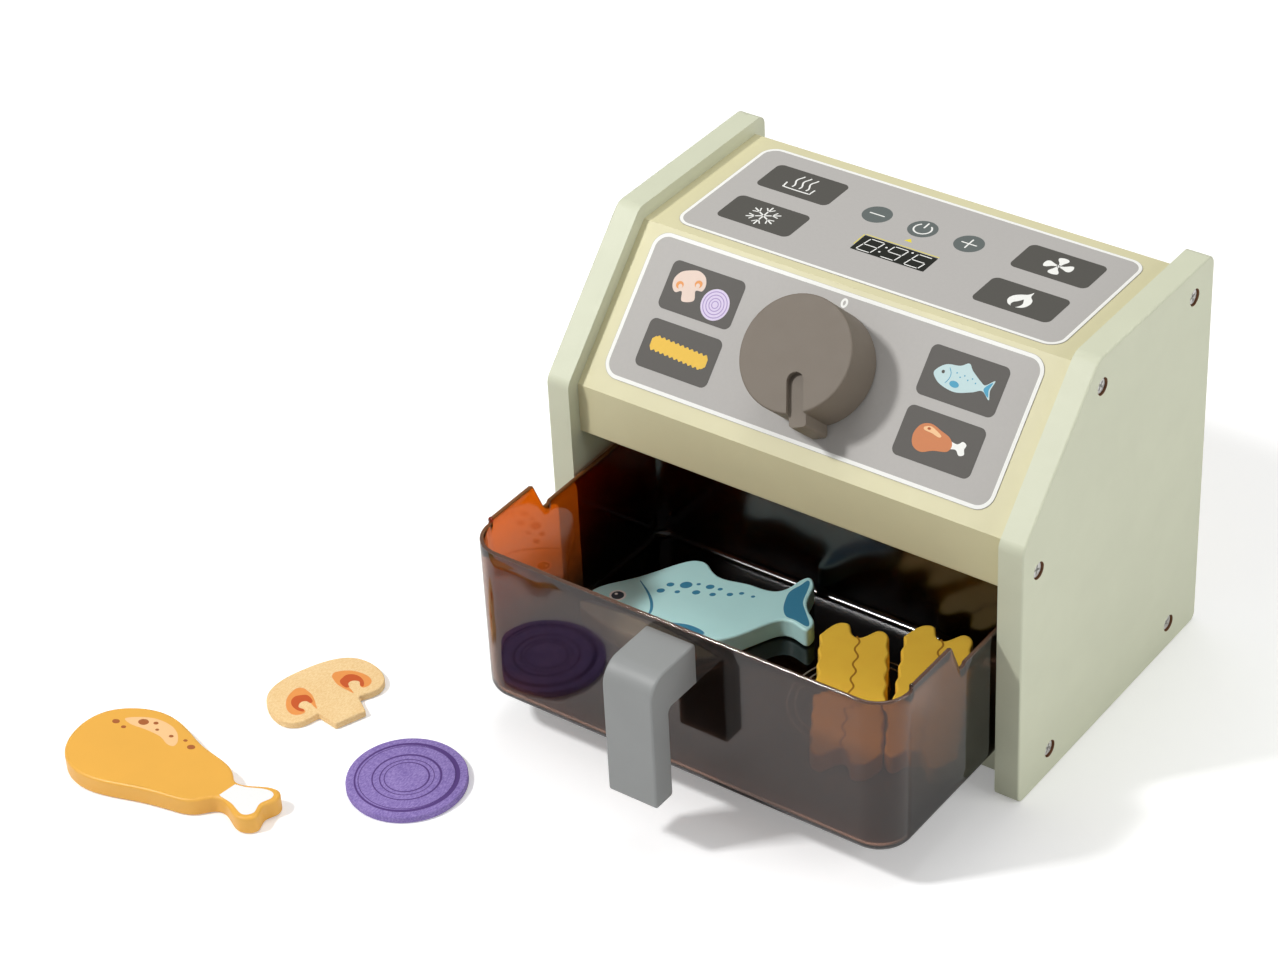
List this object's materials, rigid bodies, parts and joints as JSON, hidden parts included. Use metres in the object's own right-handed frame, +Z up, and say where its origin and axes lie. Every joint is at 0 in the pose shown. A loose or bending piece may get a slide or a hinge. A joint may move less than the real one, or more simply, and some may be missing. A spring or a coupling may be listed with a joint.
{
  "type": "toy air fryer",
  "caption": "Wooden toy air fryer: a board housing with a sloping panel and turning knob, a see-through sliding drawer with a hooked handle, and loose play food.",
  "frame": {"origin": "on the table, at the middle of the whole set's bounding box", "axes": "+X across the housing to its right seen from the front, +Y from the handle to the back, +Z up"},
  "size_m": [0.374, 0.3686, 0.1991],
  "materials": {
    "sage_painted_board": "satin paint",
    "cream_painted_board": "satin paint",
    "printed_film": "matt print",
    "plated_steel": "zinc plated",
    "white_nylon": "moulded",
    "grey_felt": "pressed felt",
    "taupe_painted_wood": "satin paint",
    "brass": "turned",
    "smoked_clear_plastic": "polished, see-through smoky brown",
    "grey_painted_wood": "satin paint",
    "fish_paint": "printed and varnished",
    "fries_paint": "satin paint",
    "onion_paint": "satin paint",
    "drumstick_paint": "printed and varnished",
    "mushroom_paint": "printed and varnished"
  },
  "bodies": {
    "housing": {"left_side_panel": "sage_painted_board", "right_side_panel": "sage_painted_board", "top_board": "cream_painted_board", "control_board": "cream_painted_board", "front_lip": "cream_painted_board", "base_board": "sage_painted_board", "back_board": "cream_painted_board", "top_label": "printed_film", "control_label": "printed_film", "left_panel_screws": "plated_steel", "right_panel_screws": "plated_steel", "knob_bushing": "white_nylon", "knob_felt_pad": "grey_felt"},
    "knob": {"knob": "taupe_painted_wood", "knob_pointer": "taupe_painted_wood", "knob_insert": "brass", "knob_washer": "plated_steel", "knob_screw": "plated_steel"},
    "drawer": {"drawer": "smoked_clear_plastic", "handle": "grey_painted_wood", "handle_screws": "plated_steel", "handle_washers": "plated_steel"},
    "fish_piece": {"fish": "fish_paint"},
    "front_fries_piece": {"front_fries": "fries_paint"},
    "back_fries_piece": {"back_fries": "fries_paint"},
    "drumstick_piece": {"drumstick": "drumstick_paint"},
    "mushroom_piece": {"mushroom": "mushroom_paint"},
    "table_onion_piece": {"table_onion": "onion_paint"}
  },
  "joints": [
    {"name": "drawer_slide", "type": "slide", "parent": "housing", "child": "drawer", "axis": [0, -1, 0], "range_m": [-0.083, 0.034]},
    {"name": "knob_turn", "type": "hinge", "parent": "housing", "child": "knob", "pos_m": [0.06499, 0.06339, 0.16209], "axis": [0, -0.7217, 0.6922], "continuous": true},
    {"name": "fish_lift", "type": "slide", "parent": "drawer", "child": "fish_piece", "axis": [0, 0, 1], "range_m": [0, 0.06]},
    {"name": "front_fries_lift", "type": "slide", "parent": "drawer", "child": "front_fries_piece", "axis": [0, 0, 1], "range_m": [0, 0.06]},
    {"name": "back_fries_lift", "type": "slide", "parent": "drawer", "child": "back_fries_piece", "axis": [0, 0, 1], "range_m": [0, 0.06]},
    {"name": "drumstick_lift", "type": "slide", "parent": "housing", "child": "drumstick_piece", "axis": [0, 0, 1], "range_m": [0, 0.06]},
    {"name": "mushroom_lift", "type": "slide", "parent": "housing", "child": "mushroom_piece", "axis": [0, 0, 1], "range_m": [0, 0.06]},
    {"name": "table_onion_lift", "type": "slide", "parent": "housing", "child": "table_onion_piece", "axis": [0, 0, 1], "range_m": [0, 0.015]}
  ]
}
